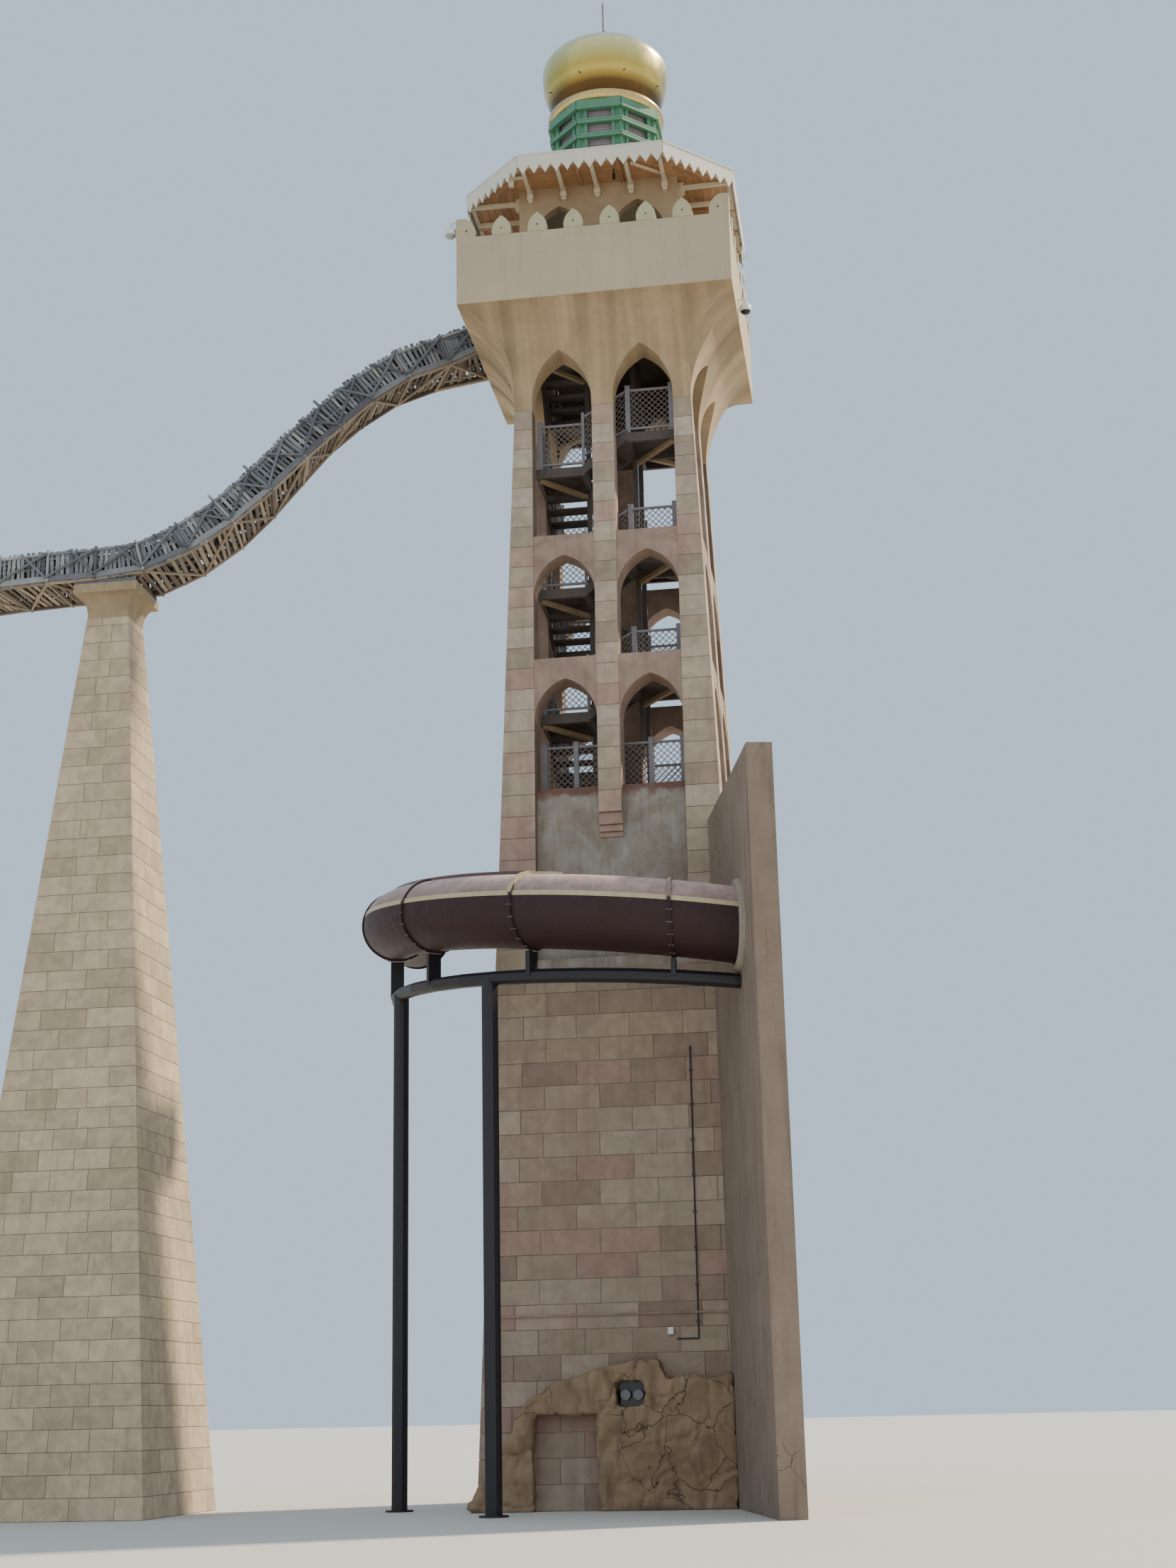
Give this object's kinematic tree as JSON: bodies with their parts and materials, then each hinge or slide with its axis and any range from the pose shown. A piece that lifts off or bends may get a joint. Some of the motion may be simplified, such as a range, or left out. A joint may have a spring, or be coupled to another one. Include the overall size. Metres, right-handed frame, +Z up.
{
  "type": "water slide tower",
  "caption": "Square stone stair tower with a flared battlemented head, domed lantern, timber-clad open chute on a tapered pier, and a bend of tube slide",
  "frame": {"origin": "centre of the tower's base on the ground, at the underside of its ground floor", "axes": "+Z up, +X to the right along the front face, +Y away from the front; the chute leaves towards -X"},
  "size_m": [20.5758, 9.9622, 32.95],
  "materials": {
    "ashlar": "sawn sandstone-coloured blocks, weathered",
    "rock": "moulded cement rock, tan and brown stain",
    "render": "grey-green cement render, stained",
    "plaster": "cream painted render",
    "roof": "off-white paint, matt",
    "strut": "cream painted timber",
    "lantern": "sea-green paint",
    "louvre": "dull purple-grey panels",
    "gold": "gold leaf look, polished",
    "steel": "galvanised and grey painted",
    "cover": "white moulded",
    "timber": "weathered grey boards and poles",
    "flume": "glass fibre, smooth",
    "tube": "maroon-brown glass fibre",
    "beam": "dark blue paint"
  },
  "bodies": {
    "root": {"base_wall_front": "render", "tracery_front": "ashlar", "flare_front": "plaster", "parapet_front": "plaster", "room_wall_front": "plaster", "base_wall_right": "render", "tracery_right": "ashlar", "flare_right": "plaster", "parapet_right": "plaster", "room_wall_right": "plaster", "base_wall_back": "render", "tracery_back": "ashlar", "flare_back": "plaster", "parapet_back": "plaster", "room_wall_back": "plaster", "base_wall_left": "render", "tracery_left": "ashlar", "flare_left": "plaster", "parapet_left": "plaster", "room_wall_left": "plaster", "corner_pier_front_left": "ashlar", "corner_pier_front_right": "ashlar", "corner_pier_back_right": "ashlar", "corner_pier_back_left": "ashlar", "ground_floor": "render", "deck_floor": "render", "head_floor": "plaster", "canopy_roof": "roof", "canopy_fringe": "roof", "canopy_frame": "strut", "lantern_curb": "lantern", "lantern_frame": "lantern", "lantern_louvres": "louvre", "gold_ring": "gold", "gold_dome": "gold", "lightning_rod": "steel", "dome_camera": "cover", "deck_rail": "steel", "chute_box": "timber", "chute_flume": "flume", "chute_seat": "timber", "pier_shaft": "ashlar", "pier_cap": "plaster", "link_wall": "render", "tube_frame": "beam", "front_rockwork": "rock", "stair_turn_1": "steel", "stair_rail_1": "steel", "stair_turn_2": "steel", "stair_rail_2": "steel", "stair_turn_3": "steel", "stair_rail_3": "steel", "stair_turn_4": "steel", "stair_rail_4": "steel", "tube_section_1": "tube", "tube_section_2": "tube", "tube_section_3": "tube", "tube_section_4": "tube", "tube_section_5": "tube"}
  },
  "joints": []
}
